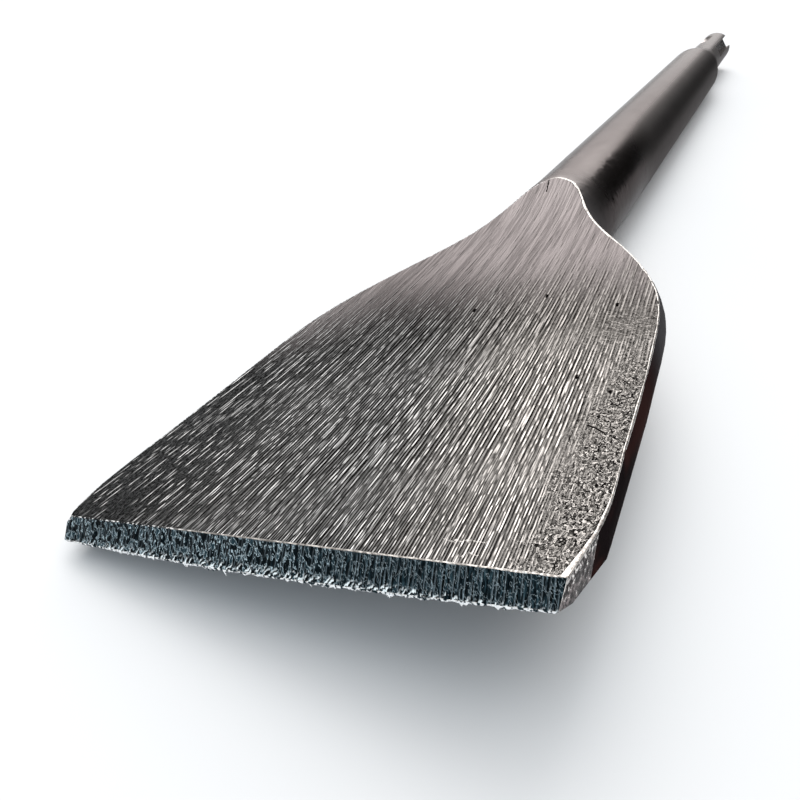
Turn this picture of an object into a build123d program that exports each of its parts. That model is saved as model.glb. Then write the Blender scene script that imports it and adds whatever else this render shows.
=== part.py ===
from build123d import *
import os
from math import asin, atan2, cos, degrees, radians, sin, sqrt, tan

# Flat chisel for a hammer drill, forged and ground from one round steel bar.
#
# It is shaped with the blade level: X runs along the bar from the blade to the shank, Y across the
# blade, Z up, with the bar's axis at Y = Z = 0 and the top rim of the edge bevel at X = 0. At the
# end it is laid down as it comes to rest, on the bar and on one corner of the blade, and the origin
# goes to the floor under the middle of its bounding box.

# Lengths along the bar
overall_length = 295.5      # cutting edge to shank end
shank_length = 47.0         # cylindrical shank
neck_length = 19.0          # cone from the bar down to the shank
forged_length = 94.0        # bevel rim to where the bar is left as it came
arch_length = 75.8          # bevel rim to the end of the ground face on top of the bar

# Bar and shank
bar_diameter = 14.0
shank_diameter = 10.0
shank_chamfer = 1.0
neck_rounding = 12.0        # radius where the cone meets the bar and the shank

# Forged blade as evenly spaced sections across it, from the front to the round bar. Each has the
# half-width and height of its upper corner (ground away later), widest point and lower rim, and its
# heights in the middle above and below.
first_section = 6.0         # bevel rim to the first of them
blade_sections = (
    ((20.95, 2.60), (21.30, 0.20), (21.05, -1.50), 3.4, -1.98),
    ((20.75, 2.70), (21.18, 0.30), (20.95, -1.18), 3.5, -1.75),
    ((20.45, 2.85), (20.97, 0.40), (20.75, -1.15), 3.7, -1.70),
    ((19.90, 3.10), (20.68, 0.60), (20.30, -1.30), 4.0, -1.80),
    ((18.80, 3.50), (19.85, 0.80), (19.30, -1.80), 4.5, -2.15),
    ((16.00, 4.00), (17.20, 1.00), (16.50, -2.10), 5.0, -2.60),
    ((11.90, 4.50), (13.20, 1.00), (12.40, -2.30), 5.5, -3.25),
    ((7.20, 5.20), (9.10, 0.70), (8.10, -2.70), 6.1, -4.20),
    ((3.90, 6.20), (7.20, 0.30), (6.40, -3.20), 6.7, -5.40),
    ((2.85, 6.39), (7.00, 0.00), (5.70, -4.00), 7.0, -6.45),
)
corner_angle = 66.0         # degrees, where those corners lie on the round end
lower_angle = -37.0
round_end_step = 0.03       # how much thinner the forging's round end is than the bar

# Ground top face, seen from the side: height above the axis
tip_rise = 1.63
rise_points = (             # share of arch_length, height
    (0.323, 1.98),
    (0.600, 2.85),
    (0.814, 4.05),
    (0.924, 5.50),
)
arch_slope = 15.0           # degrees, where the face runs out on top of the bar

# Cutting edge and front corners
bevel_angle = 45.0          # degrees, upper bevel
edge_height = 0.0           # cutting edge above the axis, at its middle
heel_angle = 27.0           # degrees, worn underside of the edge
heel_reach = 2.0            # how far back that goes from the edge
strip_length = 6.8          # bevel rim to the back of the ground strip behind it
strip_depth = 1.98          # back of the strip below the axis
heel_crown = 440.0          # radius of both across the blade
rim_width = 40.88           # bevel rim between the front corners
corner_slant = 10.0         # degrees, corner facets in plan
corner_lean = 4.5           # degrees, corner facets inwards at the bottom

# Slots in the shank
slot_clocking = 69.0        # degrees from the blade's upper face to the first drive slot
drive_slot_width = 3.6
drive_slot_depth = 1.7
drive_slot_length = 30.0
drive_slot_runout = 14.0    # radius of the cutter at the slot's inner end
recess_radius = 3.4         # locking recesses, cut with a ball-nosed tool
recess_depth = 1.5
recess_length = 19.0
recess_setback = 9.5        # from the shank end

# Derived sizes
bar_radius = bar_diameter / 2
round_end_radius = bar_radius - round_end_step
shank_radius = shank_diameter / 2
bevel_reach = (tip_rise - edge_height) / tan(radians(bevel_angle))
shank_end = overall_length - bevel_reach
shank_start = shank_end - shank_length
neck_start = shank_start - neck_length
blade_reach = blade_sections[0][1][0]
margin = 4.0                # by which cutting tools overshoot the steel


def forged_section(x, corner, widest, lower, top, bottom):
    """Closed section of the forging at x, a smooth line through each arc's points."""
    sides = [((half * corner[0], corner[1]), (half * widest[0], widest[1]), (half * lower[0], lower[1]))
             for half in (1, -1)]
    belly = (sides[0][2], (0, bottom), sides[1][2])
    back = (sides[1][0], (0, top), sides[0][0])
    with BuildSketch(Plane.YZ.offset(x)) as section:
        with BuildLine():
            for points in (*sides, belly, back):
                arc = ThreePointArc(*points, mode=Mode.PRIVATE)
                Spline(*[arc @ (step / 4) for step in range(5)])
        make_face()
    return section.sketch


def round_end_point(angle):
    """Point of the forging's round end, by its angle from the blade's plane."""
    return round_end_radius * cos(radians(angle)), round_end_radius * sin(radians(angle))


def forging():
    """The blade before grinding: flat and straight-sided in front, swelling into the round bar.

    It is laid through spare sections beyond both ends, which keep its surface even up to them.
    """
    corner, widest, lower = [round_end_point(angle) for angle in (corner_angle, 0, lower_angle)]
    rounded = corner, widest, lower, round_end_radius, -round_end_radius
    row = list(blade_sections) + [rounded] * 2
    spacing = (forged_length - first_section) / (len(row) - 1)
    spares = len(row) // 5
    row = row[:1] * spares + row + row[-1:] * spares
    places = [first_section + (count - spares) * spacing for count in range(len(row))]
    blade = loft([forged_section(x, *values) for x, values in zip(places, row)])
    length = forged_length + bevel_reach + margin
    kept = Pos(forged_length - length / 2, 0, 0) * Box(length, 3 * blade_reach, 3 * bar_diameter)
    return blade & kept


def bar_and_shank():
    """Round stock: the bar, the cone of the neck and the chamfered shank, turned about the axis."""
    with BuildPart() as turned:
        with BuildSketch(Plane.XZ):
            with BuildLine():
                Polyline(
                    (forged_length, 0), (forged_length, bar_radius), (neck_start, bar_radius),
                    (shank_start, shank_radius), (shank_end - shank_chamfer, shank_radius),
                    (shank_end, shank_radius - shank_chamfer), (shank_end, 0), (forged_length, 0),
                )
            make_face()
        revolve(axis=Axis.X)
        circles = turned.edges().filter_by(GeomType.CIRCLE)
        neck_ends = circles.filter_by_position(Axis.X, neck_start - margin, shank_start + margin)
        fillet(neck_ends, neck_rounding)
    return turned.part


def above_top_face():
    """Steel ground off over the top face, which rises from the tip and runs out on the bar."""
    top = bar_radius + 2 * margin
    front = -bevel_reach - 2 * margin
    heights = [(arch_length * share, height) for share, height in rise_points]
    run_out = arch_length + (top - bar_radius) / tan(radians(arch_slope))
    slope = cos(radians(arch_slope)), sin(radians(arch_slope))
    with BuildSketch(Plane.XZ) as side:
        with BuildLine():
            Line((front, tip_rise), (0, tip_rise))
            Spline((0, tip_rise), *heights, (arch_length, bar_radius), tangents=((1, 0), slope))
            Polyline((arch_length, bar_radius), (run_out, top), (front, top), (front, tip_rise))
        make_face()
    return extrude(side.sketch, amount=blade_reach + margin, both=True)


def before_bevel():
    """Steel ground off in front of the upper bevel, a flat face across the blade."""
    drop = bar_radius + margin
    slope = tan(radians(bevel_angle))
    with BuildSketch(Plane.XZ) as side:
        with BuildLine():
            Polyline(
                (-drop / slope, tip_rise - drop), (margin / slope, tip_rise + margin),
                (-drop / slope, tip_rise + margin), close=True,
            )
        make_face()
    return extrude(side.sketch, amount=blade_reach + margin, both=True)


def below_heel():
    """Steel ground off under the edge, a steep heel and a long strip crowned across the blade."""
    heel_end = heel_reach - bevel_reach
    heel_height = edge_height - heel_reach * tan(radians(heel_angle))
    fall = (strip_depth + heel_height) / (strip_length - heel_end)
    front = -bevel_reach - margin
    back = strip_length + margin
    low = -strip_depth - 2 * margin
    half_sweep = degrees(asin((blade_reach + margin) / heel_crown))
    centre = Axis((0, 0, edge_height + heel_crown), (1, 0, 0))
    with BuildSketch(Plane.XZ) as side:
        with BuildLine():
            Polyline(
                (front, edge_height + margin * tan(radians(heel_angle))), (heel_end, heel_height),
                (back, heel_height - fall * (back - heel_end)), (back, low), (front, low), close=True,
            )
        make_face()
    return revolve(side.sketch.rotate(centre, -half_sweep), centre, 2 * half_sweep)


def beyond_corner():
    """Steel ground off one front corner, outside a leaning facet through the rim's end."""
    outward = (-tan(radians(corner_slant)), 1, -tan(radians(corner_lean)))
    facet = Plane(origin=(0, rim_width / 2, tip_rise), x_dir=(1, -outward[0], 0), z_dir=outward)
    size = 4 * bar_radius
    return facet * Box(size, size, margin, align=(Align.CENTER, Align.CENTER, Align.MIN))


def drive_slot():
    """One open drive slot, cut from the shank end and run out by the cutter's radius."""
    floor = shank_radius - drive_slot_depth
    slot_end = shank_end - drive_slot_length
    top = shank_radius + margin
    rise = top - floor
    turn = atan2(sqrt(2 * drive_slot_runout * rise - rise**2), drive_slot_runout - rise)
    with BuildSketch(Plane.XZ) as side:
        with BuildLine():
            run = JernArc((slot_end, floor), (-1, 0), drive_slot_runout, -degrees(turn))
            Polyline(run @ 1, (shank_end + margin, top), (shank_end + margin, floor), (slot_end, floor))
        make_face()
    return extrude(side.sketch, amount=drive_slot_width / 2, both=True)


def locking_recess():
    """One closed locking recess, the trace of a ball-nosed tool along the shank."""
    height = shank_radius - recess_depth + recess_radius
    chord = 2 * sqrt(recess_radius**2 - (recess_radius - recess_depth) ** 2)
    straight = recess_length - chord
    end_x = shank_end - recess_setback - chord / 2
    tool = Pos(end_x - straight / 2, 0, height) * Rot(0, 90, 0) * Cylinder(recess_radius, straight)
    tool += Pos(end_x, 0, height) * Sphere(recess_radius)
    tool += Pos(end_x - straight, 0, height) * Sphere(recess_radius)
    return tool


def chisel():
    """The whole tool with its blade level."""
    steel = forging() + bar_and_shank()
    steel -= above_top_face()
    steel -= before_bevel()
    steel -= below_heel()
    corner = beyond_corner()
    steel -= corner
    steel -= mirror(corner, about=Plane.XZ)
    for side in (0, 180):
        steel -= Rot(slot_clocking + side, 0, 0) * drive_slot()
        steel -= Rot(slot_clocking + side - 90, 0, 0) * locking_recess()
    return steel


def lay_down(tool):
    """Roll the tool until the blade's corner is down on the floor that carries the bar."""
    blade = tool & Box(arch_length, 4 * blade_reach, 4 * bar_radius)
    roll = 0
    for _ in range(5):
        gap = bar_radius + (Rot(-roll, 0, 0) * blade).bounding_box().min.Z
        roll += degrees(gap / blade_reach)
    rolled = Rot(-roll, 0, 0) * tool
    box = rolled.bounding_box()
    return Pos(-box.center().X, -box.center().Y, -box.min.Z) * rolled


part = lay_down(chisel())
os.makedirs("parts", exist_ok=True)
export_step(part, "parts/chisel.step")
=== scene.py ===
import math

import bmesh
import bpy
import numpy as np
from mathutils import Matrix, Vector


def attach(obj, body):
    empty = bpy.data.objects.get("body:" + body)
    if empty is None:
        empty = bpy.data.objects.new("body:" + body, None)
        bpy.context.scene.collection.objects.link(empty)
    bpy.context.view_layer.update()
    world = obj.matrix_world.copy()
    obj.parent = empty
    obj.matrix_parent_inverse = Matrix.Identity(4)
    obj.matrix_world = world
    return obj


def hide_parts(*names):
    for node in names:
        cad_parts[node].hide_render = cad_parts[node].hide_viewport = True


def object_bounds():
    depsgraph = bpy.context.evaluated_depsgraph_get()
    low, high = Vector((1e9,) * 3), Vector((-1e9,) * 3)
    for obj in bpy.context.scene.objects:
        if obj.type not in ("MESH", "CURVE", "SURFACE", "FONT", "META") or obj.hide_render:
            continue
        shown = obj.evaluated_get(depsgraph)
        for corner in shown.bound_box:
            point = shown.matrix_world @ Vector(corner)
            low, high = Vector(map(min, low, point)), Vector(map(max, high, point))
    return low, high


# Flat chisel. The mesh is made in millimetres with the blade level, as the CAD source has it: X runs
# along the bar from the bevel's rim, Y across the blade, Z up. LAY puts that into the shared frame.

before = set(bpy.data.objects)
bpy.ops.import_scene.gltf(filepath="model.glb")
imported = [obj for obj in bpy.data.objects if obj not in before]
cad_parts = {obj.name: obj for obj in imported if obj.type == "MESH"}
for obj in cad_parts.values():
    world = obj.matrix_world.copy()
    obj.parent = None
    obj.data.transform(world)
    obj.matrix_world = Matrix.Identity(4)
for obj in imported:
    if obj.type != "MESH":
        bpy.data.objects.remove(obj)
cad_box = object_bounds()

# Sizes and places, in millimetres
MM = 0.001
ROLL = math.radians(15.390566724870592)
LAID_AT = (-146.12, -0.0753467, 7.0000023)      # the bar's axis below the bevel's rim, in the shared frame
LAY = Matrix.Translation([value * MM for value in LAID_AT]) @ Matrix.Rotation(-ROLL, 4, "X")

TIP_RISE = 1.63                     # the bevel's rim above the bar's axis
HEEL_END = 0.37                     # the worn heel under the edge, and its slope
HEEL_SLOPE = -0.51
STRIP_END = 7.5                     # the ground strip behind the heel
STRIP_HEIGHT, STRIP_SLOPE = -1.019, -0.1495
CROWN_RADIUS = 440.0                # of the heel and the strip, across the blade
ARCH_END = 75.8                     # the ground top face ends before this
SWELL_START = 78.0                  # here the forging starts to grow into the bar
BAR_START, NECK_START, SHANK_START = 94.0, 227.24, 247.5
BAR_RADIUS = 7.0

RIM_WIDTH = 0.13                    # the worn rim is about this wide on the left
CREST_INSET, CREST_DROP = 0.03, 0.012
WALL_DROP = 0.10                    # the rim's outer border below the CAD model's sharp one
FRONT_ROW = 0.11                    # the top face starts a little behind the bevel, past a worn band
BANDS = (                           # the top face's rows: start, end, gap along X, points across
    (FRONT_ROW, 46.0, 0.5, 345), (46.0, 60.0, 0.5, 241), (60.0, 68.0, 0.5, 121),
    (68.0, 72.6, 0.4, 61), (72.6, 75.0, 0.25, 25))
FAN = 0.0033                        # how much the grinding marks spread with each millimetre of X
CROSS_COS, CROSS_SIN = 0.89, 0.45   # the direction of the marks across the right shoulder
BEVEL_LENGTH, BEVEL_ROWS = 2.3, 16
LIPS = ((0.45, 0.0), (1.0, 0.03), (0.55, 0.10), (0.1, 0.16))    # the burr's rows: share of drop, how far back
CORNER_ROUND = 0.35                 # radius of the worn front-left corner
SEGMENTS = 96                       # round the bar
SMOOTH_ANGLE = math.radians(32)     # sharper edges than this are shaded sharp outside the ground faces

TOUCH = 1e-3                        # points nearer to the bevel's rim than this are on it
NEAR = 0.01                         # and nearer to a plane or height than this are in it
ON_TOP, ON_STRIP = 0.06, 0.03       # nearer to the curve of the top or of the strip than this are on it
TOP, BEVEL, EDGE, FORGED, BURR, FACET = range(6)    # material slots


# Noise, from seeded tables of random numbers
CELLS, LINES = 256, 512


def smooth(share):
    """Eases a share from 0 to 1 in and out."""
    return share * share * (3 - 2 * share)


def step(low, high, value):
    """A smooth change from 0 at low to 1 at high."""
    return smooth(np.clip((value - low) / (high - low), 0, 1))


def patches(x, y, seed):
    """Smooth noise from -1 to 1 with cells of one unit."""
    table = np.random.default_rng(seed).uniform(-1, 1, (CELLS, CELLS))
    column, line = np.floor(x).astype(int), np.floor(y).astype(int)
    along, across = smooth(x - column), smooth(y - line)

    def corner(right, up):
        return table[(column + right) % CELLS, (line + up) % CELLS]

    low = corner(0, 0) * (1 - along) + corner(1, 0) * along
    high = corner(0, 1) * (1 - along) + corner(1, 1) * along
    return low * (1 - across) + high * across


def streaks(x, y, width, length, seed):
    """Noise drawn out along X, each line starting at a place of its own."""
    rng = np.random.default_rng(seed)
    table, shift = rng.uniform(-1, 1, (LINES, CELLS)), rng.uniform(0, CELLS, LINES)
    line = np.floor(y / width).astype(int)
    across = smooth(y / width - line)
    total = 0
    for side, weight in ((0, 1 - across), (1, across)):
        number = (line + side) % LINES
        place = x / length + shift[number]
        cell = np.floor(place).astype(int)
        along = smooth(place - cell)
        here, ahead = table[number, cell % CELLS], table[number, (cell + 1) % CELLS]
        total = total + weight * (here * (1 - along) + ahead * along)
    return total


# The CAD surface, from which the ground faces and the round stock are taken out and made anew
body = bmesh.new()
body.from_mesh(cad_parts["chisel"].data)
body.transform(Matrix.Scale(1 / MM, 4) @ LAY.inverted())
bmesh.ops.remove_doubles(body, verts=body.verts, dist=2e-3)
body.normal_update()


def ground(face):
    """Whether a face looks like one of the bevel's or of the ground top's."""
    middle, normal = face.calc_center_median(), face.normal
    if middle.x < 0:
        return abs(normal.y) < 0.01 and normal.z > 0.6 and normal.x < -0.6
    return abs(normal.y) < 0.12 and normal.z > 0.93 and middle.x < ARCH_END and middle.z > TIP_RISE - NEAR


top_points = sorted({tuple(v.co) for f in body.faces if ground(f) for v in f.verts if v.co.x > -TOUCH})
profile = np.polynomial.Polynomial.fit([p[0] for p in top_points], [p[2] for p in top_points], 9)


def on_profile(vertex):
    """Whether a point is on the bevel or at the ground top's height."""
    return vertex.co.x < -TOUCH or abs(vertex.co.z - profile(vertex.co.x)) < ON_TOP


def under_edge(vertex):
    """Whether a point is on the ground heel or strip under the edge, which are crowned across the blade."""
    x, y, z = vertex.co
    line = HEEL_SLOPE * (x + TIP_RISE) if x < HEEL_END else STRIP_HEIGHT + STRIP_SLOPE * (x - HEEL_END)
    return x < STRIP_END and abs(z - line - y * y / (2 * CROWN_RADIUS)) < ON_STRIP


def round_stock(face):
    """Whether a face runs along the bar or the neck."""
    xs = [v.co.x for v in face.verts]
    return min(xs) > BAR_START - NEAR and max(xs) < SHANK_START + NEAR and max(xs) - min(xs) > NEAR


def bar_end(face):
    """Whether a face is in the plane where the bar starts."""
    return all(abs(v.co.x - BAR_START) < NEAR for v in face.verts)


def take_out(chosen):
    """Deletes the faces for which chosen says yes."""
    bmesh.ops.delete(body, geom=[f for f in body.faces if chosen(f)], context="FACES")


take_out(lambda face: ground(face) and all(on_profile(v) for v in face.verts))
for face in body.faces:
    normal = face.normal
    corner_facet = abs(normal.y) > 0.97 and -0.2 < normal.x < -0.15 and face.calc_center_median().x < 3
    ground_under = normal.z < -0.8 and all(under_edge(v) for v in face.verts)
    face.material_index = FACET if corner_facet or ground_under else FORGED

neck = sorted({(v.co.x, math.hypot(v.co.y, v.co.z))
               for v in body.verts if BAR_START < v.co.x < SHANK_START + NEAR})
take_out(round_stock)
# The forging's round end is 0.03 mm thinner than the bar: here the two run into each other
take_out(bar_end)
for vertex in body.verts:
    radius = math.hypot(vertex.co.y, vertex.co.z)
    if SWELL_START < vertex.co.x < BAR_START + NEAR and radius < BAR_RADIUS:
        grown = 1 + (BAR_RADIUS / radius - 1) * step(SWELL_START, BAR_START, vertex.co.x)
        vertex.co.y *= grown
        vertex.co.z *= grown


# The border of the ground faces
def open_loops(mesh):
    """The open borders as lists of vertices in order."""
    left = {e for e in mesh.edges if e.is_boundary}
    loops = []
    while left:
        edge = left.pop()
        loop = [edge.verts[0], edge.verts[1]]
        while True:
            following = next((e for e in loop[-1].link_edges if e in left), None)
            if following is None:
                break
            left.discard(following)
            loop.append(following.other_vert(loop[-1]))
        loops.append(loop[:-1] if loop[0] is loop[-1] else loop)
    return loops


def blade_border(mesh):
    """The border of the ground faces in two parts: its rim, from the front-right corner round the arch to
    the front-left one, and the rest of it, over the cutting edge, from left to right."""
    loop = max(open_loops(mesh), key=lambda each: -min(v.co.x for v in each))
    wrong_side = 99

    def from_right(number):
        return abs(loop[number].co.x) + (loop[number].co.y > 0) * wrong_side

    def from_left(number):
        return abs(loop[number].co.x) + (loop[number].co.y < 0) * wrong_side

    right = min(range(len(loop)), key=from_right)
    loop = loop[right:] + loop[:right]
    if loop[1].co.x < loop[0].co.x:
        loop = loop[:1] + loop[:0:-1]
    left = min(range(len(loop)), key=from_left)
    return loop[: left + 1], loop[left:] + loop[:1]


def cut(faces, places, normal):
    """Cuts faces along planes at the places, so that they can follow a finer border."""
    faces = set(faces)
    geometry = list(faces | {e for f in faces for e in f.edges} | {v for f in faces for v in f.verts})
    for place in places:
        geometry = bmesh.ops.bisect_plane(
            body, geom=geometry, dist=1e-4, plane_co=normal * place, plane_no=normal)["geom"]


def hermite(points, at):
    """Smooth curve through the points, read off at fractional point numbers."""
    gaps = np.linalg.norm(np.diff(points, axis=0), axis=1)
    chords = np.diff(points, axis=0) / gaps[:, None]
    inner = chords[:-1] * gaps[1:, None] + chords[1:] * gaps[:-1, None]
    tangent = np.vstack([chords[:1], inner / (gaps[1:] + gaps[:-1])[:, None], chords[-1:]])
    k = np.clip(np.floor(at).astype(int), 0, len(gaps) - 1)
    t, gap = (at - k)[:, None], gaps[k][:, None]
    return ((2 * t**3 - 3 * t**2 + 1) * points[k] + (t**3 - 2 * t**2 + t) * gap * tangent[k]
            + (3 * t**2 - 2 * t**3) * points[k + 1] + (t**3 - t**2) * gap * tangent[k + 1])


def smooth_rim(vertices, knots):
    """The cut rim's places, moved from the chords between the knots to a curve through them."""
    def apart(one, other):
        return np.linalg.norm(one - other)

    numbers, knot = [], 0
    for vertex in vertices:
        place = np.array(vertex.co)
        while knot < len(knots) - 2 and (apart(place, knots[knot]) + apart(place, knots[knot + 1])
                                         > apart(knots[knot + 1], knots[knot]) + 1e-4):
            knot += 1
        share = apart(place, knots[knot]) / apart(knots[knot + 1], knots[knot])
        numbers.append(knot + min(share, 1))
    return hermite(knots, np.array(numbers))


rim_knots = np.array([tuple(v.co) for v in blade_border(body)[0]])
heel = [f for f in body.faces if f.normal.z < -0.8 and f.normal.x < -0.4 and f.calc_center_median().x < 0.6]
cut(heel, np.arange(-20, 20.1, 0.5), Vector((0, 1, 0)))
blade = [f for f in body.faces if f.calc_center_median().x < BAR_START]
cut(blade, np.arange(1.0, 93.5, 1.0), Vector((1, 0, 0)))
rim, front = blade_border(body)
rim_line = smooth_rim(rim, rim_knots)


# Rows of vertices and the strips between them
def row(points):
    """New vertices at the points."""
    return [body.verts.new(p) for p in points]


def strip(first, second, material):
    """Joins two rows of vertices, which may differ in number, by their share of length."""
    def shares(line):
        gaps = [(a.co - b.co).length for a, b in zip(line, line[1:])]
        return np.concatenate([[0], np.cumsum(gaps)]) / max(sum(gaps), 1e-9)

    a, b = shares(first), shares(second)
    i = j = 0
    while i < len(first) - 1 or j < len(second) - 1:
        forward = j == len(second) - 1 or (i < len(first) - 1 and a[i + 1] <= b[j + 1])
        if len(first) == len(second) and i == j:
            corners = (first[i], first[i + 1], second[j + 1], second[j])
            i, j = i + 1, j + 1
        elif forward:
            corners = (first[i], first[i + 1], second[j])
            i += 1
        else:
            corners = (first[i], second[j + 1], second[j])
            j += 1
        corners = list(dict.fromkeys(corners))
        if len(corners) > 2:
            body.faces.new(corners).material_index = material


# The worn rim
def inset(line, width):
    """The rim's line moved inwards over the top face."""
    ahead = np.gradient(line[:, :2], axis=0)
    inward = np.stack([-ahead[:, 1], ahead[:, 0]], axis=1) / np.linalg.norm(ahead, axis=1)[:, None]
    moved = line.copy()
    moved[:, :2] += inward * width
    moved[0, 0] = moved[-1, 0] = FRONT_ROW
    moved[:, 2] = profile(moved[:, 0])
    return moved


uneven = 1 + 0.35 * patches(np.arange(len(rim_line)) / 2.3, np.zeros(len(rim_line)), 21)
crest = inset(rim_line, CREST_INSET)
crest[:, 2] -= CREST_DROP
# On the right the rim is worn wide at the front corner and again round the arch
on_right = step(-1.5, 1.5, -rim_line[:, 1])
at_corner, at_arch = 1 - step(1.0, 8.0, rim_line[:, 0]), step(25, 70, rim_line[:, 0])
worn = 1 + on_right * (1.6 * at_corner + 1.1 * at_arch)
lip = inset(rim_line, (RIM_WIDTH * uneven * worn)[:, None])
wall_line = rim_line.copy()
wall_line[:, 2] -= WALL_DROP * uneven
for vertex, place in zip(rim, wall_line):
    vertex.co = place
crest_row, lip_row = row(crest), row(lip)
strip(rim, crest_row, EDGE)
strip(crest_row, lip_row, EDGE)


# The ground top face
def relief(x, y):
    """Height of the grinding marks above the smooth top face."""
    fan = y * (1 + FAN * x)
    calm = 1 - 0.95 * step(46, 60, x)
    right_margin = step(13, 18, -y) * (1 - step(18, 30, x))
    shoulder = step(26, 30, x) * (1 - step(36, 39, x)) * step(11.5, 14, -y)
    lines = streaks(x, fan, 0.17, 2.2, 11) + 0.6 * streaks(x, fan, 0.27, 4.0, 12)
    deep = np.minimum(streaks(x, fan, 0.22, 3.0, 13) + 0.45, 0)
    grain = patches(x / 0.32, y / 0.28, 14)
    crosswise = streaks(CROSS_SIN * x + CROSS_COS * y, CROSS_COS * x - CROSS_SIN * y, 0.5, 1.6, 15)
    along = (0.008 * lines + 0.035 * deep) * (1 - 0.7 * right_margin - 0.8 * shoulder)
    return calm * (along + 0.020 * grain * (0.25 + right_margin) + 0.016 * crosswise * shoulder)


apex = int(np.argmax(lip[:, 0]))
sides = lip[: apex + 1], lip[apex:][::-1]
end_x = float(lip[apex, 0])


def across_top(x, columns):
    """A line of points across the top face at x, from the right border to the left one."""
    right, left = [np.interp(x, side[:, 0], side[:, 1]) for side in sides]
    y = np.linspace(right, left, columns)
    height = relief(np.full(columns, x), y)
    border = np.minimum(y - right, left - y)
    fade = step(0.0, 0.5, border) * step(-0.3, 0.4, x)
    return np.stack([np.full(columns, x), y, profile(x) + height * fade], axis=1)


top_rows = [row(across_top(x, columns)) for start, stop, gap, columns in BANDS
            for x in np.arange(start, min(stop, end_x - 0.1) - 1e-6, gap)]
for before, after in zip(top_rows, top_rows[1:]):
    strip(before, after, TOP)
last = top_rows[-1]
strip(lip_row[: apex + 1], [line[0] for line in top_rows] + last[1 : len(last) // 2 + 1], TOP)
strip(lip_row[apex:][::-1], [line[-1] for line in top_rows] + last[-2 : len(last) // 2 - 1 : -1], TOP)

# The bevel
columns = len(top_rows[0])
bottom = sorted(front[1:-1], key=lambda v: v.co.y)
at_edge = np.array([v.co[:] for v in bottom])
edge_y = np.linspace(at_edge[0, 1], at_edge[-1, 1], columns)
edge_line = np.stack([np.interp(edge_y, at_edge[:, 1], at_edge[:, k]) for k in range(3)], axis=1)
right_end = np.array([0, rim_line[0, 1] + 0.02, TIP_RISE])
left_end = np.array([0, rim_line[-1, 1] - 0.02, TIP_RISE])
rim_edge = right_end + np.linspace(0, 1, columns)[:, None] * (left_end - right_end)
nicks = np.clip(patches(edge_y / 0.35, edge_y * 0, 31), -0.6, 1)
rim_edge[:, 2] -= 0.045 + 0.035 * nicks
rim_edge[:, 0] -= 0.01 * nicks
inside_ends = step(0, 0.4, np.minimum(edge_y - edge_y[0], edge_y[-1] - edge_y))
outwards = np.array([-1, 0, 1]) / math.sqrt(2)
bevel_rows = [row(rim_edge)]
for number in range(1, BEVEL_ROWS + 1):
    down = number / BEVEL_ROWS
    length = BEVEL_LENGTH * down
    marks = (0.036 * streaks(np.full(columns, length), edge_y + 0.1 * length, 0.17, 1.1, 32)
             + 0.026 * patches(edge_y / 0.2, np.full(columns, length / 0.2), 33))
    height = (-0.03 - 0.02 * down + marks) * inside_ends
    bevel_rows.append(row(rim_edge * (1 - down) + edge_line * down + outwards * height[:, None]))
strip(top_rows[0], bevel_rows[0], EDGE)
for upper, lower in zip(bevel_rows, bevel_rows[1:]):
    strip(upper, lower, BEVEL)

# The ragged burr that hangs from the cutting edge
spikes = np.clip(np.random.default_rng(34).normal(0.0, 1.0, columns), 0, 2.5)
tufts = step(-0.3, 0.6, patches(edge_y / 0.8, edge_y * 0 + 5, 35))
crumbs = np.clip(patches(edge_y / 0.25, edge_y * 0, 36), 0, 1)
ragged = 0.07 + (0.35 + 0.65 * tufts) * (0.10 + 0.16 * spikes) + 0.10 * crumbs
lips = []
for drop, back in LIPS:
    place = edge_line.copy()
    place[:, 0] = np.maximum(place[:, 0] + back * inside_ends, edge_line[:, 0].min() + 0.005)
    place[:, 2] -= ragged * drop * inside_ends
    lips.append(row(place))
for upper, lower in zip([bevel_rows[-1], *lips], [*lips, bottom]):
    strip(upper, lower, BURR)
for end in (0, -1):
    column = [line[end] for line in (crest_row, lip_row, top_rows[0], *bevel_rows, *lips)]
    strip([rim[end], bottom[end]], column, EDGE)

# The round stock: the bar and the conical neck
angles = np.linspace(0, 2 * math.pi, SEGMENTS, endpoint=False)
along_bar = np.arange(BAR_START + 3, NECK_START, 4.0)
stations = np.concatenate([along_bar, np.arange(NECK_START, SHANK_START - 0.5, 0.6)])
radii = np.interp(stations, [p[0] for p in neck], [p[1] for p in neck])
rings = [row(np.stack([np.full(SEGMENTS, x), r * np.cos(angles), r * np.sin(angles)], axis=1))
         for x, r in zip(stations, radii)]


def turned(loop):
    """A ring's vertices by angle, closed by its first one."""
    loop = sorted(loop, key=lambda v: math.atan2(v.co.z, v.co.y) % (2 * math.pi))
    return loop + loop[:1]


stock_ends = [loop for loop in open_loops(body)
              if min(v.co.x for v in loop) > BAR_START - 1 and len(loop) < SEGMENTS]
stock_ends.sort(key=lambda loop: loop[0].co.x)
rings = [stock_ends[0], *rings, stock_ends[-1]]
for one, other in zip(rings, rings[1:]):
    strip(turned(one), turned(other), FORGED)

# The front-left corner is worn round
inner = Vector((0.0, rim_line[-1, 1], TIP_RISE)) + Vector((CORNER_ROUND, -CORNER_ROUND, -CORNER_ROUND))
reach = CORNER_ROUND * 1.05
for vertex in body.verts:
    offset = vertex.co - inner
    if offset.x < 0 and offset.y > 0 and offset.z > 0 and offset.length > reach:
        vertex.co = inner + offset * (reach / offset.length)

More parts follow.
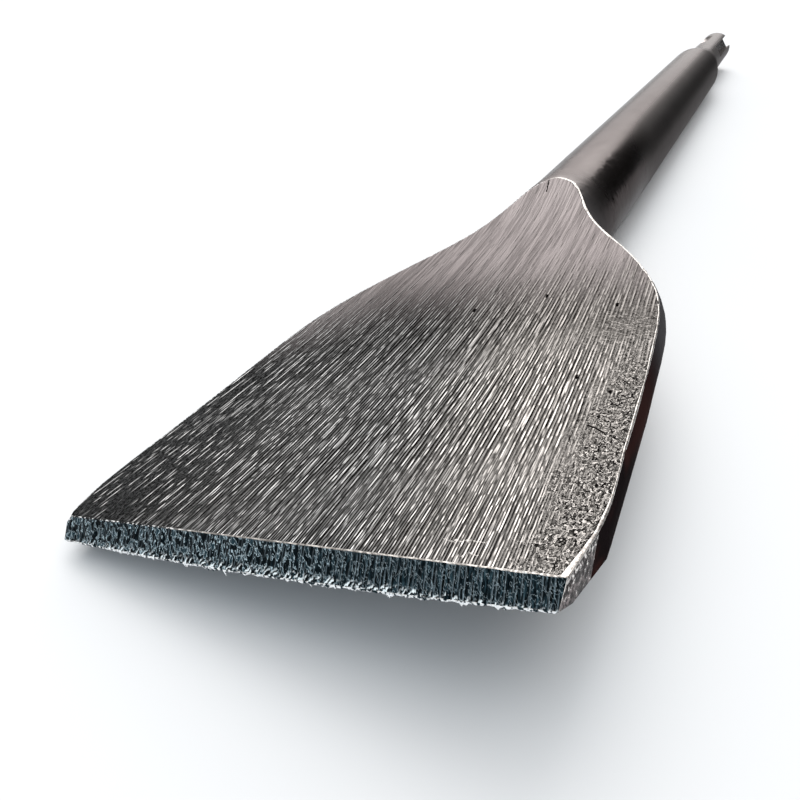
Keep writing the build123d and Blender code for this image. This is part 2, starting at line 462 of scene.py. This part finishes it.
# The finished mesh, inside the CAD model's box
bmesh.ops.remove_doubles(body, verts=body.verts, dist=1e-4)
bmesh.ops.dissolve_degenerate(body, dist=1e-5, edges=body.edges)
bmesh.ops.recalc_face_normals(body, faces=body.faces)
for face in body.faces:
    face.smooth = True
for edge in body.edges:
    one, other = edge.link_faces
    rough = one.material_index == other.material_index and one.material_index in (TOP, BEVEL, BURR, EDGE)
    edge.smooth = rough or edge.calc_face_angle() < SMOOTH_ANGLE
body.transform(LAY @ Matrix.Scale(MM, 4))
for vertex in body.verts:
    vertex.co = [min(max(value, low), high) for value, low, high in zip(vertex.co, *cad_box)]
mesh = bpy.data.meshes.new("chisel_steel")
body.to_mesh(mesh)
body.free()
chisel = bpy.data.objects.new("chisel_steel", mesh)
bpy.context.scene.collection.objects.link(chisel)
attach(chisel, "root")
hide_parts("chisel")


class Tree:
    """Makes nodes from short calls, whose inputs are sockets or constants."""

    def __init__(self, tree):
        self.tree = tree
        tree.nodes.clear()

    def node(self, kind, inputs=(), **settings):
        made = self.tree.nodes.new(kind)
        for name, value in settings.items():
            setattr(made, name, value)
        for name, value in dict(inputs).items():
            self.feed(made.inputs[name], value)
        return made

    def feed(self, socket, value):
        if isinstance(value, bpy.types.NodeSocket):
            self.tree.links.new(value, socket)
        else:
            socket.default_value = value

    def math(self, kind, *values):
        return self.node("ShaderNodeMath", enumerate(values), operation=kind).outputs[0]

    def chain(self, kind, values):
        total = values[0]
        for value in values[1:]:
            total = self.math(kind, total, value)
        return total

    def add(self, *values):
        return self.chain("ADD", values)

    def times(self, *values):
        return self.chain("MULTIPLY", values)

    def most(self, *values):
        return self.chain("MAXIMUM", values)

    def minus(self, value, taken):
        return self.math("SUBTRACT", value, taken)

    def ramp(self, value, low, high, out_low=0.0, out_high=1.0):
        """A smooth change from one value to another between low and high."""
        given = {"Value": value, "From Min": low, "From Max": high, "To Min": out_low, "To Max": out_high}
        return self.node("ShaderNodeMapRange", given, interpolation_type="SMOOTHSTEP").outputs[0]

    def mix(self, share, one, other):
        made = self.node("ShaderNodeMix", data_type="RGBA")
        self.feed(made.inputs[0], share)
        for socket, value in zip(made.inputs[6:8], (one, other)):
            self.feed(socket, value)
        return made.outputs[2]

    def point(self, x, y, z):
        return self.node("ShaderNodeCombineXYZ", {0: x, 1: y, 2: z}).outputs[0]

    def place(self):
        """The blade's own X, Y and Z in millimetres."""
        level = LAY.inverted()
        coordinates = self.node("ShaderNodeMapping", {
            "Vector": self.node("ShaderNodeTexCoord").outputs["Object"],
            "Location": level.to_translation(), "Rotation": level.to_euler()}).outputs[0]
        parts = self.node("ShaderNodeSeparateXYZ", {0: coordinates}).outputs
        return [self.times(part, 1 / MM) for part in parts]

    def noise(self, x, y, z, detail=2.0, roughness=0.55):
        given = {"Vector": self.point(x, y, z), "Scale": 1.0, "Detail": detail, "Roughness": roughness}
        return self.node("ShaderNodeTexNoise", given).outputs[0]

    def flat_noise(self, x, y, per_x, per_y, layer, detail=2.0, roughness=0.55):
        """Noise with so many cells to a millimetre of X and of Y."""
        return self.noise(self.times(x, per_x), self.times(y, per_y), layer, detail, roughness)

    def solid_noise(self, place, counts, detail=2.0, roughness=0.55):
        """Noise with so many cells to a millimetre of X, Y and Z."""
        scaled = [self.times(value, count) for value, count in zip(place, counts)]
        return self.noise(*scaled, detail, roughness)

    def ridge(self, value, centre, half_width):
        """A line where the value passes the centre."""
        off = self.math("ABSOLUTE", self.minus(value, centre))
        return self.ramp(off, half_width * 0.5, half_width * 1.5, 1.0, 0.0)

    def grooves(self, x, y, pitch, length, few, seed, faint=0.0):
        """Thin straight scratches along X, no more than one to each pitch of Y, and fewer the higher few is.
        One of a pair is strong where the other is weak, and there they go on faintly, by the share faint.
        Gives their bright raised side, to be coloured as a painted glint, and their dark side, to be coloured
        as painted shade."""
        place = self.times(y, 1 / pitch)
        number = self.math("FLOOR", place)
        chance = self.node("ShaderNodeTexWhiteNoise", {"Vector": self.point(number, seed, 0.0)},
                           noise_dimensions="2D").outputs[0]
        off = self.minus(place, self.add(number, 0.35, self.times(chance, 0.4)))
        pair = self.math("FLOOR", self.times(number, 0.5))
        odd = self.minus(number, self.times(pair, 2.0))
        run = self.noise(self.times(x, 1 / length), self.times(pair, 3.71), seed * 1.7, 1.0)
        run = self.add(run, self.times(odd, self.minus(1.0, self.times(run, 2.0))))
        strength = self.ramp(self.minus(run, few), 0.0, 0.12)
        bright = self.times(self.ridge(off, 0.0, 0.20), self.most(strength, self.times(faint, 0.3)))
        return bright, self.times(self.ridge(off, -0.46, 0.35), self.most(strength, faint))

    def stroke(self, x, y, start, end, width):
        """A straight mark from one point of the blade to another."""
        (start_x, start_y), (end_x, end_y) = start, end
        size = math.hypot(end_x - start_x, end_y - start_y)
        ahead_x, ahead_y = (end_x - start_x) / size, (end_y - start_y) / size
        dx, dy = self.minus(x, start_x), self.minus(y, start_y)
        along = self.add(self.times(dx, ahead_x), self.times(dy, ahead_y))
        beside = self.add(self.times(dx, -ahead_y), self.times(dy, ahead_x))
        past = self.minus(along, self.most(self.math("MINIMUM", along, size), 0.0))
        far = self.math("SQRT", self.add(self.times(beside, beside), self.times(past, past)))
        return self.ramp(far, width * 0.3, width, 1.0, 0.0)

    def strokes(self, x, y, marks):
        return self.most(*[self.stroke(x, y, *mark) for mark in marks])


def grey(level, warmth=0.0):
    return (level * (1 + warmth), level, level * (1 - warmth), 1)


# The ground top's colours, each for the middle, the left and the right
DARK_METAL = grey(0.015, 0.01), grey(0.013, -0.02), grey(0.065, 0.05)
LIGHT_METAL = grey(0.066, 0.01), grey(0.105, -0.02), grey(0.230, 0.05)
# real scratches, their bright raised sides coloured as a painted glint
SCRATCH_AND_GLINT = grey(0.66), grey(0.78), (0.97, 0.92, 0.88, 1)
# and for the middle and the left
DARK_SHOULDER = (0.255, 0.232, 0.232, 1), (0.335, 0.308, 0.308, 1)
LIGHT_SHOULDER = (0.405, 0.368, 0.368, 1), (0.490, 0.452, 0.452, 1)
# real scratches, their dark sides coloured as painted shade
SCRATCH_AND_SHADE = grey(0.006)
MARGIN_PIT, MARGIN_METAL = grey(0.030, 0.05), grey(0.46, 0.05)
# Single marks on the blade: from, to and half width
CROSS_SCRATCHES = (((1.95, -12.3), (2.3, -14.9), 0.09), ((0.84, -13.7), (1.03, -14.8), 0.08))
PITS = (((15.9, -17.8), (15.5, -18.5), 0.15), ((15.5, -18.5), (14.9, -19.2), 0.135),
        ((40.5, -8.0), (39.9, -8.1), 0.21), ((37.4, -15.7), (36.8, -15.8), 0.225),
        ((37.9, -0.9), (37.3, -1.0), 0.225), ((23.4, -15.2), (23.0, -15.3), 0.255),
        ((20.9, -18.4), (20.6, -18.5), 0.255), ((75.1, 0.9), (72.0, 0.5), 0.135))


def scratches(t, x, y, fan, reach, to_right, to_left, faint):
    """Layers of lengthwise scratches, closer together the nearer they are to the front-right corner.
    Each pair of layers is a dense one and a sparse one, which cross at a small angle."""
    cloud = t.flat_noise(x, y, 0.10, 0.16, 5.0)
    few = t.add(t.times(to_right, -0.03), t.times(to_left, 0.055), t.times(cloud, 0.06),
                t.ramp(reach, 0.0, 16.0, 0.02, 0.0), t.ramp(x, 34.0, 60.0, 0.51, 0.60))
    near = t.ramp(reach, 0.0, 9.0, 1.0, 0.0)
    middle = t.times(t.ramp(reach, -1.0, 8.0), t.ramp(reach, 20.0, 30.0, 1.0, 0.0))
    far = t.ramp(reach, 19.0, 29.0)
    layers = ((near, 0.22, 1.5), (near, 0.28, 2.4), (middle, 0.32, 2.2), (middle, 0.38, 3.4),
              (far, 0.40, 3.4), (far, 0.50, 5.0))
    brights, darks = [], []
    for seed, (weight, pitch, length) in enumerate(layers, 1):
        sparse = seed % 2 == 0
        slanted = t.add(fan, t.times(x, -0.012 if sparse else 0.012))
        bright, dark = t.grooves(x, slanted, pitch, length, t.add(few, 0.06 if sparse else -0.07),
                                 float(seed), 0.0 if sparse else faint)
        brights.append(t.times(bright, weight, 0.75 if sparse else 1.0))
        darks.append(t.times(dark, weight))
    return t.most(*brights), t.most(*darks)


def ground_top(t, x, y, z):
    """Coarse lengthwise grinding, with a grainy margin on the right, some crosswise marks at the right
    shoulder and smoother metal towards the arch."""
    wander = t.times(t.flat_noise(x, y, 0.22, 0.7, 9.0, 1.0), t.ramp(x, 30.0, 56.0, 0.14, 0.0))
    fan = t.add(t.times(y, t.add(1.0, t.times(x, FAN))), wander)
    reach = t.add(x, t.times(y, 0.45))
    side = t.add(y, t.times(x, -0.2))
    to_right, to_left = t.ramp(side, -19.0, -3.0, 1.0, 0.0), t.ramp(side, 0.0, 17.0)
    calm = t.ramp(x, 30.0, 54.0, 1.0, 0.40)
    calm_bright = t.ramp(x, 18.0, 52.0, 1.0, 0.10)

    def by_side(middle, left, right):
        return t.mix(to_right, t.mix(to_left, middle, left), right)

    faint = t.times(t.ramp(side, 0.0, 15.0, 0.85, 0.0), t.ramp(x, 34.0, 50.0, 1.0, 0.1))
    bright, dark = scratches(t, x, y, fan, reach, to_right, to_left, faint)

    curls = t.flat_noise(x, y, 2.0, 2.6, 13.0, 1.3, 0.6)
    ragged_y = t.add(y, t.times(t.flat_noise(x, y, 0.5, 0.5, 17.0), 5.0), -2.5)
    margin = t.times(t.ramp(ragged_y, -19.2, -15.6, 1.0, 0.0), t.ramp(x, 22.0, 34.0, 1.0, 0.0))
    across_x = t.add(t.times(x, CROSS_COS), t.times(y, -CROSS_SIN))
    across_y = t.add(t.times(x, CROSS_SIN), t.times(y, CROSS_COS))
    swirls = t.flat_noise(across_y, across_x, 0.5, 2.4, 19.0)
    swirl = t.times(t.ramp(x, 24.0, 33.0), t.ramp(x, 33.0, 40.0, 1.0, 0.0),
                    t.ramp(ragged_y, -18.0, -11.0, 1.0, 0.0), 0.8)
    uncovered = t.minus(1.0, t.most(margin, swirl))
    bright = t.add(t.times(bright, uncovered), t.times(t.ridge(curls, 0.545, 0.018), margin, 0.6),
                   t.times(t.ridge(swirls, 0.54, 0.016), swirl, 0.7))
    dark = t.add(t.times(dark, uncovered), t.times(t.ridge(curls, 0.475, 0.030), margin),
                 t.times(t.ridge(swirls, 0.49, 0.018), swirl))

    grain = t.mix(t.ramp(reach, 14.0, 40.0), t.flat_noise(x, y, 3.6, 5.6, 3.0, 3.0, 0.8),
                  t.flat_noise(x, y, 1.6, 3.4, 4.0, 3.0, 0.8))
    light = t.times(t.ramp(grain, 0.40, 0.61), t.ramp(reach, -4.0, 16.0, 0.45, 1.0))
    colour = t.mix(light, by_side(*DARK_METAL), by_side(*LIGHT_METAL))
    pitted = t.ramp(t.flat_noise(x, y, 3.0, 4.0, 37.0, 2.5, 0.7), 0.43, 0.60)
    colour = t.mix(t.times(margin, 0.7), colour, t.mix(pitted, MARGIN_PIT, MARGIN_METAL))
    shoulder = t.ramp(t.add(x, t.times(to_left, 8.0)), 30.5, 55.0)
    soft_line = t.ramp(t.flat_noise(x, fan, 0.05, 2.0, 23.0, 3.0, 0.65), 0.40, 0.60)
    smoother = t.mix(soft_line, t.mix(to_left, *DARK_SHOULDER), t.mix(to_left, *LIGHT_SHOULDER))
    colour = t.mix(shoulder, colour, smoother)
    # Scratches: their dark sides are painted shade, their bright raised sides a painted glint
    colour = t.mix(t.times(dark, calm), colour, SCRATCH_AND_SHADE)
    colour = t.mix(t.times(bright, calm_bright), colour, by_side(*SCRATCH_AND_GLINT))

    shake = t.times(t.minus(t.flat_noise(x, y, 2.0, 2.0, 29.0, 3.0), 0.5), 1.1)
    crossed = t.strokes(t.add(x, shake), t.add(y, shake), CROSS_SCRATCHES)
    colour = t.mix(t.times(crossed, t.ramp(grain, 0.44, 0.52), 0.55), colour, grey(0.95, 0.04))
    small_shake = t.times(shake, 0.3)
    pits = t.strokes(t.add(x, small_shake), t.add(y, small_shake), PITS)
    colour = t.mix(pits, colour, grey(0.008, 0.05))
    roughness = t.add(0.34, t.times(grain, 0.12), t.times(bright, -0.06))
    fine = t.flat_noise(x, y, 0.6, 6.0, 31.0, 1.0)
    height = t.times(calm, t.add(t.times(fine, 0.12), t.times(curls, margin, 0.12)))
    return colour, roughness, height


def bevel_face(t, x, y, z):
    """Blued grinding: crinkled on the left, upright striations on the right, a white fringe at the edge."""
    down = t.times(x, -math.sqrt(2))
    right = t.ramp(y, -12.0, 4.0, 1.0, 0.0)
    lines = t.flat_noise(down, y, 0.8, 5.0, 0.0, 3.0, 0.65)
    crinkle = t.flat_noise(down, t.add(y, t.times(down, 0.35)), 1.9, 3.0, 2.0, 2.0, 0.6)
    grain = t.flat_noise(x, y, 5.0, 5.0, 2.0, 3.0, 0.7)
    bright, dark = t.grooves(down, y, 0.24, 2.2, t.add(t.times(grain, 0.2), 0.34), 7.0)
    blue = t.mix(right, (0.026, 0.052, 0.066, 1), (0.028, 0.052, 0.064, 1))
    colour = t.mix(t.ramp(t.mix(right, crinkle, lines), 0.44, 0.65), (0.003, 0.006, 0.008, 1), blue)
    # the striations' dark sides are coloured as painted shade, their bright sides as a painted glint
    colour = t.mix(t.times(dark, right), colour, (0.002, 0.003, 0.003, 1))
    colour = t.mix(t.times(bright, t.ramp(right, 0.0, 1.0, 0.30, 0.45)), colour, (0.20, 0.25, 0.28, 1))
    creases = t.times(t.ridge(crinkle, 0.55, 0.020), t.ramp(right, 0.0, 1.0, 0.75, 0.25))
    colour = t.mix(creases, colour, (0.62, 0.74, 0.79, 1))
    slanted = t.add(y, t.times(down, -0.75), t.times(crinkle, 0.8))
    fringe, shade = t.grooves(t.add(down, 10.0), slanted, 0.40, 0.5, 0.42, 8.0)
    low = t.ramp(t.add(down, t.times(lines, 0.9)), 2.05, 2.40)
    colour = t.mix(t.times(shade, low), colour, (0.006, 0.009, 0.011, 1))
    colour = t.mix(t.times(fringe, low), colour, (0.90, 0.94, 0.95, 1))
    roughness = t.add(0.34, t.times(grain, 0.2), t.times(fringe, low, 0.45))
    height = t.add(t.times(lines, 0.10), t.times(crinkle, 0.10), t.times(grain, 0.08), t.times(bright, 0.02))
    return colour, roughness, height


def worn_edge(t, x, y, z):
    """The worn, bright rim, which is broken up on the left and dark and specked along the left side."""
    grain = t.flat_noise(x, y, 3.6, 3.6, z, 3.0, 0.65)
    along_bevel = t.times(t.ramp(y, 4.0, 11.0), t.ramp(x, 1.0, 2.5, 1.0, 0.0))
    along_side = t.times(t.ramp(y, 0.5, 2.5), t.ramp(x, 2.0, 4.0))
    broken = t.most(along_bevel, along_side)
    specks = t.ramp(t.flat_noise(x, y, 3.0, 2.4, 6.0), 0.50, 0.58)
    colour = t.mix(t.ramp(grain, 0.38, 0.56), (0.40, 0.37, 0.35, 1), (0.94, 0.90, 0.86, 1))
    colour = t.mix(broken, colour, t.mix(specks, grey(0.03, -0.05), grey(0.95)))
    return colour, t.ramp(broken, 0.0, 1.0, 0.30, 0.65), t.times(grain, 0.03)


def burr(t, x, y, z):
    """White fringe of torn metal with dark gaps."""
    grain = t.solid_noise((x, y, z), (3.0, 4.0, 3.0))
    return t.mix(t.ramp(grain, 0.42, 0.54), (0.03, 0.05, 0.06, 1), grey(0.97)), 0.80, t.times(grain, 0.05)


def facet(t, x, y, z):
    """The corner facets and the ground strip underneath: patchy grey with bright specks."""
    grain = t.solid_noise((x, y, z), (3.4, 3.4, 2.8), 3.0, 0.65)
    patch = t.ramp(t.solid_noise((x, y, z), (0.8, 0.8, 1.4), 1.0), 0.40, 0.56, 0.35, 1.0)
    light = t.times(t.ramp(grain, 0.42, 0.56), patch)
    colour = t.mix(light, (0.012, 0.009, 0.009, 1), (0.230, 0.198, 0.195, 1))
    specks = t.ramp(t.minus(grain, t.ramp(z, 0.2, 1.3, 0.10, 0.0)), 0.53, 0.57)
    return t.mix(specks, colour, grey(0.85, 0.03)), 0.45, t.times(grain, 0.10)


def forged(t, x, y, z):
    """Forging scale: almost black and matt round the blade with some rust, half glossy along the bar, and
    rougher along the bar's right side, where painted shade also darkens it, most along the upper part of its
    far end."""
    grain = t.solid_noise((x, y, z), (0.9, 0.9, 0.9), 4.0, 0.6)
    broad = t.solid_noise((x, y, z), (0.14, 0.3, 0.3))
    bar, far_bar = t.ramp(x, 56.0, 84.0), t.ramp(x, 95.0, 125.0)
    rust = t.times(t.ramp(broad, 0.42, 0.60), t.ramp(x, 20.0, 30.0, 1.0, 0.0))
    plain = t.mix(t.ramp(x, 22.0, 34.0), (0.023, 0.018, 0.019, 1), (0.105, 0.102, 0.106, 1))
    scale = t.mix(rust, plain, (0.056, 0.028, 0.026, 1))
    stock = t.mix(broad, (0.400, 0.375, 0.370, 1), (0.520, 0.490, 0.483, 1))
    # Painted shade on the bar's right side: its colour is drawn towards black, down to these shares of it
    right_painted_shade_level = t.ramp(x, 95.0, 125.0, 0.34, t.ramp(z, 0.0, 2.5, 0.30, 0.12))
    painted_lit_share = t.ramp(y, -6.4, -2.2, right_painted_shade_level, 1.0)
    colour = t.mix(bar, scale, t.mix(painted_lit_share, (0.0, 0.0, 0.0, 1), stock))
    rough_side = t.times(far_bar, t.minus(1.0, painted_lit_share))
    roughness = t.add(t.times(bar, -0.50), t.times(grain, 0.08), t.times(rough_side, 0.45), 0.66)
    height = t.add(t.times(grain, t.ramp(bar, 0.0, 1.0, 0.012, 0.0006)), t.times(broad, 0.003))
    return colour, roughness, height


def steel(name, build, **constants):
    """A metal material: build gives the colour, roughness and bump height in millimetres."""
    made = bpy.data.materials.new(name)
    made.use_nodes = True
    tree = Tree(made.node_tree)
    colour, roughness, height = build(tree, *tree.place())
    bump = tree.node("ShaderNodeBump", {"Height": height, "Strength": 1.0, "Distance": MM}).outputs[0]
    given = {"Base Color": colour, "Roughness": roughness, "Normal": bump, "Metallic": 1.0, **constants}
    shader = tree.node("ShaderNodeBsdfPrincipled", given)
    tree.node("ShaderNodeOutputMaterial", {"Surface": shader.outputs[0]})
    return made


# How little the ground steel and the forging scale reflect at a glancing angle, so that both stay dark
GROUND_TINT = {"Specular Tint": (0.30, 0.30, 0.30, 1)}
SCALE_TINT = {"Specular Tint": (0.30, 0.29, 0.29, 1)}
FINISHES = (                                # in the order of the material slots
    ("ground_top", ground_top, GROUND_TINT), ("bevel", bevel_face, {}), ("worn_edge", worn_edge, {}),
    ("forged", forged, SCALE_TINT), ("burr", burr, {}), ("facet", facet, {}))
for name, build, constants in FINISHES:
    chisel.data.materials.append(steel(name, build, **constants))


# The floor
FLOOR_REACH = 6.0                           # metres each way
floor_mesh = bpy.data.meshes.new("floor")
corners = [(FLOOR_REACH * x, FLOOR_REACH * y, 0) for x, y in ((-1, -1), (1, -1), (1, 1), (-1, 1))]
floor_mesh.from_pydata(corners, [], [(0, 1, 2, 3)])
floor = bpy.data.objects.new("floor", floor_mesh)
bpy.context.scene.collection.objects.link(floor)
paper = bpy.data.materials.new("paper")
paper.use_nodes = True
tree = Tree(paper.node_tree)
x, y = tree.place()[:2]
shade = tree.mix(tree.flat_noise(x, y, 0.02, 0.02, 0.0), (0.770, 0.777, 0.790, 1), (0.800, 0.800, 0.805, 1))
given = {"Base Color": shade, "Roughness": 0.8, "Specular IOR Level": 0.1}
matt = tree.node("ShaderNodeBsdfPrincipled", given)
tree.node("ShaderNodeOutputMaterial", {"Surface": matt.outputs[0]})
floor_mesh.materials.append(paper)

# The studio light: soft light overhead, a broad window ahead of the camera and on its left, a dim room,
# and a cool fill from behind. The camera itself sees a plain pale backdrop.
LAMP = 1.95                                 # strength of the overhead light and the window
FILL = 1.6
WARM, COOL, PALE = (1.0, 0.982, 0.965, 1), (0.76, 0.90, 1.0, 1), (0.93, 0.94, 0.96, 1)
world = bpy.data.worlds.new("studio")
world.use_nodes = True
bpy.context.scene.world = world
tree = Tree(world.node_tree)
facing = tree.node("ShaderNodeTexCoord").outputs["Generated"]
direction = tree.node("ShaderNodeSeparateXYZ", {0: facing}).outputs
azimuth = tree.times(tree.math("ARCTAN2", direction[1], direction[0]), 180 / math.pi)
elevation = tree.times(tree.math("ARCSINE", direction[2]), 180 / math.pi)
overhead = tree.times(tree.ramp(elevation, 42.0, 72.0), LAMP)
window = tree.times(tree.ramp(azimuth, -5.0, 0.0), tree.ramp(azimuth, 18.0, 80.0, 1.0, 0.12),
                    tree.ramp(azimuth, 80.0, 100.0, 1.0, 0.0), tree.ramp(elevation, 0.5, 4.0), LAMP)
room = tree.ramp(elevation, 5.0, 50.0, 0.04, 0.25)
around_back = tree.ramp(tree.math("ABSOLUTE", azimuth), 138.0, 160.0)
behind = tree.times(around_back, tree.ramp(elevation, 0.0, 3.0), FILL)


def glow(colour, strength):
    """Light of one colour from all directions."""
    return tree.node("ShaderNodeBackground", {"Color": colour, "Strength": strength}).outputs[0]


main_light = glow(WARM, tree.add(overhead, window, room))
lights = tree.node("ShaderNodeAddShader", {0: main_light, 1: glow(COOL, behind)})
to_camera = tree.node("ShaderNodeLightPath").outputs["Is Camera Ray"]
seen = tree.node("ShaderNodeMixShader", {0: to_camera, 1: lights.outputs[0], 2: glow(PALE, 1.0)})
tree.node("ShaderNodeOutputWorld", {"Surface": seen.outputs[0]})

# The camera, at the photograph's viewing angle: its axes and place in the shared frame
RIGHT = Vector((0.425949, -0.904651, 0.013224))
DOWN = Vector((-0.481362, -0.238973, -0.843317))
AHEAD = Vector((0.766067, 0.352844, -0.537254))
CAMERA_PLACE = Vector((-176.164, -23.062, 43.571)) * MM
PHOTO_WIDTH, FOCAL_LENGTH = 800, 745        # in pixels
SENSOR_WIDTH = 36.0
camera = bpy.data.objects.new("camera", bpy.data.cameras.new("camera"))
bpy.context.scene.collection.objects.link(camera)
turn = Matrix((RIGHT, -DOWN, -AHEAD)).transposed().to_4x4()
camera.matrix_world = Matrix.Translation(CAMERA_PLACE) @ turn
camera.data.sensor_width = SENSOR_WIDTH
camera.data.lens = FOCAL_LENGTH / PHOTO_WIDTH * SENSOR_WIDTH
camera.data.clip_start = 0.001
camera.data.clip_end = 50.0
bpy.context.scene.camera = camera
bpy.context.scene.view_settings.view_transform = "Standard"

bpy.context.view_layer.update()
